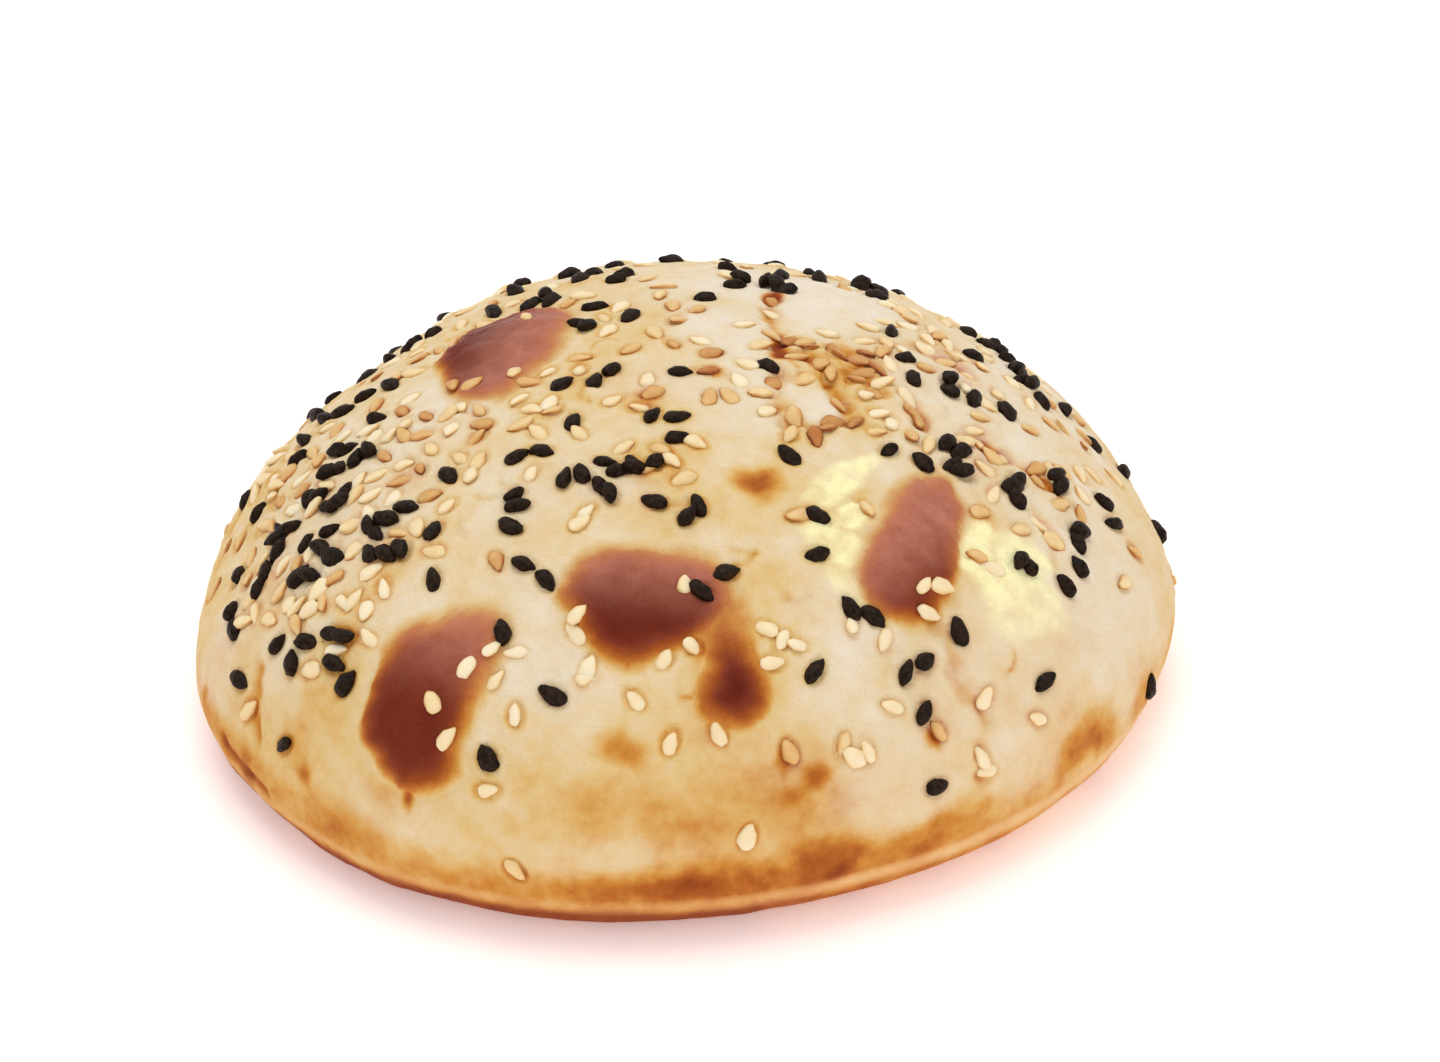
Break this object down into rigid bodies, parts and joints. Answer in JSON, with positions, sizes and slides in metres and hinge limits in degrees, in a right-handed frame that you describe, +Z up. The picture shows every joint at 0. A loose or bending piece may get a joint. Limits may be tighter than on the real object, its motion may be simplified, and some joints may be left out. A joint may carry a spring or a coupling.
{
  "type": "feteer bread",
  "caption": "Round domed bread of puffed dough with scorched blisters and a browned rim, strewn with black seeds and sesame seeds.",
  "frame": {"origin": "middle of the flat base, under the middle of the whole bread", "axes": "+Z up through the crown; the most heavily blistered side faces -Y"},
  "size_m": [0.1138, 0.113, 0.0407],
  "materials": {
    "crust": "matte baked crust",
    "black_seed": "matte seed hull",
    "sesame_seed": "satin seed hull"
  },
  "bodies": {
    "root": {"bread": "crust", "black_seed_01": "black_seed", "black_seed_02": "black_seed", "black_seed_03": "black_seed", "black_seed_04": "black_seed", "black_seed_05": "black_seed", "black_seed_06": "black_seed", "black_seed_07": "black_seed", "black_seed_08": "black_seed", "black_seed_09": "black_seed", "black_seed_10": "black_seed", "black_seed_11": "black_seed", "black_seed_12": "black_seed", "black_seed_13": "black_seed", "black_seed_14": "black_seed", "black_seed_15": "black_seed", "black_seed_16": "black_seed", "black_seed_17": "black_seed", "black_seed_18": "black_seed", "black_seed_19": "black_seed", "black_seed_20": "black_seed", "black_seed_21": "black_seed", "black_seed_22": "black_seed", "black_seed_23": "black_seed", "black_seed_24": "black_seed", "black_seed_25": "black_seed", "black_seed_26": "black_seed", "black_seed_27": "black_seed", "black_seed_28": "black_seed", "black_seed_29": "black_seed", "black_seed_30": "black_seed", "black_seed_31": "black_seed", "black_seed_32": "black_seed", "black_seed_33": "black_seed", "black_seed_34": "black_seed", "black_seed_35": "black_seed", "black_seed_36": "black_seed", "black_seed_37": "black_seed", "black_seed_38": "black_seed", "sesame_seed_01": "sesame_seed", "sesame_seed_02": "sesame_seed", "sesame_seed_03": "sesame_seed", "sesame_seed_04": "sesame_seed", "sesame_seed_05": "sesame_seed", "sesame_seed_06": "sesame_seed", "sesame_seed_07": "sesame_seed", "sesame_seed_08": "sesame_seed", "sesame_seed_09": "sesame_seed", "sesame_seed_10": "sesame_seed", "sesame_seed_11": "sesame_seed", "sesame_seed_12": "sesame_seed", "sesame_seed_13": "sesame_seed", "sesame_seed_14": "sesame_seed", "sesame_seed_15": "sesame_seed", "sesame_seed_16": "sesame_seed", "sesame_seed_17": "sesame_seed", "sesame_seed_18": "sesame_seed", "sesame_seed_19": "sesame_seed", "sesame_seed_20": "sesame_seed", "sesame_seed_21": "sesame_seed"}
  },
  "joints": []
}
